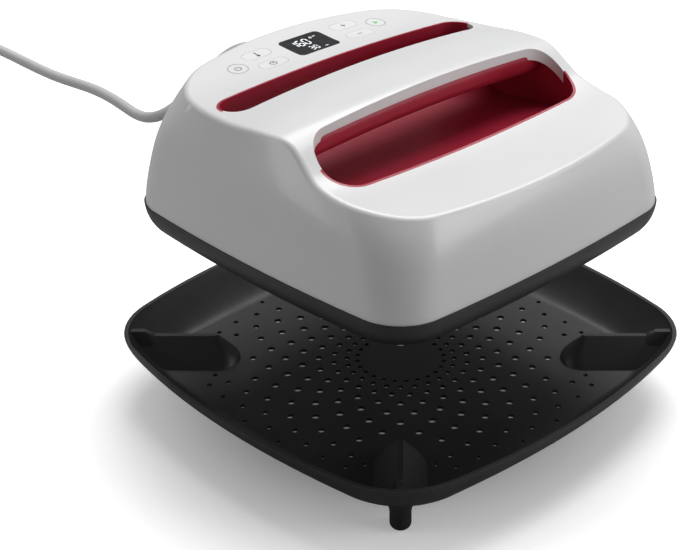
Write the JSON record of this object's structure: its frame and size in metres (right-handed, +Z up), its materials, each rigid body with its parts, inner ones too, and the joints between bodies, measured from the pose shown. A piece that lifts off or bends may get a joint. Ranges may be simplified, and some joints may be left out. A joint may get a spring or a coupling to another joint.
{
  "type": "heat press",
  "caption": "Square hand-held heat press with a wide handle, control deck and display, hovering over its perforated, footed safety base with corner ribs.",
  "frame": {"origin": "on the table, at the centre of the four foot pads of the safety base", "axes": "+Z up out of the table, -Y towards the user, who has the front opening of the handle on that side, +X to the user's right"},
  "size_m": [0.324, 0.6264, 0.2416],
  "materials": {
    "white_shell": "satin gloss",
    "red_liner": "satin gloss",
    "black_shell": "fine texture",
    "tray_black": "moulded, fine texture",
    "rubber_foot": "matte",
    "button_white": "satin gloss",
    "window_smoke": "polished, tinted",
    "lcd": "polished",
    "board_green": "solder mask",
    "component_black": "matte",
    "component_blue": "matte",
    "plate_coating": "ceramic coated aluminium",
    "bare_metal": "bright",
    "shield_metal": "mill finish",
    "insulation": "needled glass fibre",
    "ceramic": "glazed",
    "wire": "silicone",
    "cable_grey": "satin",
    "brass_pin": "nickel plated"
  },
  "bodies": {
    "base": {"tray": "tray_black", "foot_pads": "rubber_foot"},
    "press": {"base_skirt": "black_shell", "board_capacitors": "component_blue", "button_switches": "component_black", "buzzer": "component_black", "cover_screws": "bare_metal", "display_board": "board_green", "display_board_screws": "bare_metal", "display_window": "window_smoke", "grip_screws": "bare_metal", "handle_grip": "red_liner", "handle_well": "red_liner", "heat_plate": "plate_coating", "heat_shield": "shield_metal", "heating_element": "bare_metal", "insulation_pad": "insulation", "lcd_module": "lcd", "main_board": "board_green", "main_board_screws": "bare_metal", "mains_plug": "cable_grey", "plate_screws": "bare_metal", "plate_standoffs": "ceramic", "plug_pins": "brass_pin", "power_cord": "cable_grey", "power_supply": "component_black", "relay": "component_blue", "ribbon_cable": "wire", "shield_screws": "bare_metal", "strain_relief": "cable_grey", "temperature_sensor": "bare_metal", "terminal_block": "component_black", "thermal_fuse": "ceramic", "top_cover": "white_shell", "wiring": "wire"},
    "minus_button": {"minus_button": "button_white"},
    "plus_button": {"plus_button": "button_white"},
    "power_button": {"power_button": "button_white"},
    "start_button": {"start_button": "button_white"},
    "temperature_button": {"temperature_button": "button_white"},
    "timer_button": {"timer_button": "button_white"}
  },
  "joints": [
    {"name": "press_lift", "type": "slide", "parent": "base", "child": "press", "axis": [0, 0, 1], "range_m": [-0.0858, 0.06]},
    {"name": "minus_button_push", "type": "slide", "parent": "press", "child": "minus_button", "axis": [0, 0, -1], "range_m": [0, 0.0008], "stiffness_N_per_m": 600},
    {"name": "plus_button_push", "type": "slide", "parent": "press", "child": "plus_button", "axis": [0, 0, -1], "range_m": [0, 0.0008], "stiffness_N_per_m": 600},
    {"name": "power_button_push", "type": "slide", "parent": "press", "child": "power_button", "axis": [0, 0, -1], "range_m": [0, 0.0008], "stiffness_N_per_m": 600},
    {"name": "start_button_push", "type": "slide", "parent": "press", "child": "start_button", "axis": [0, 0, -1], "range_m": [0, 0.0008], "stiffness_N_per_m": 600},
    {"name": "temperature_button_push", "type": "slide", "parent": "press", "child": "temperature_button", "axis": [0, 0, -1], "range_m": [0, 0.0008], "stiffness_N_per_m": 600},
    {"name": "timer_button_push", "type": "slide", "parent": "press", "child": "timer_button", "axis": [0, 0, -1], "range_m": [0, 0.0008], "stiffness_N_per_m": 600}
  ]
}
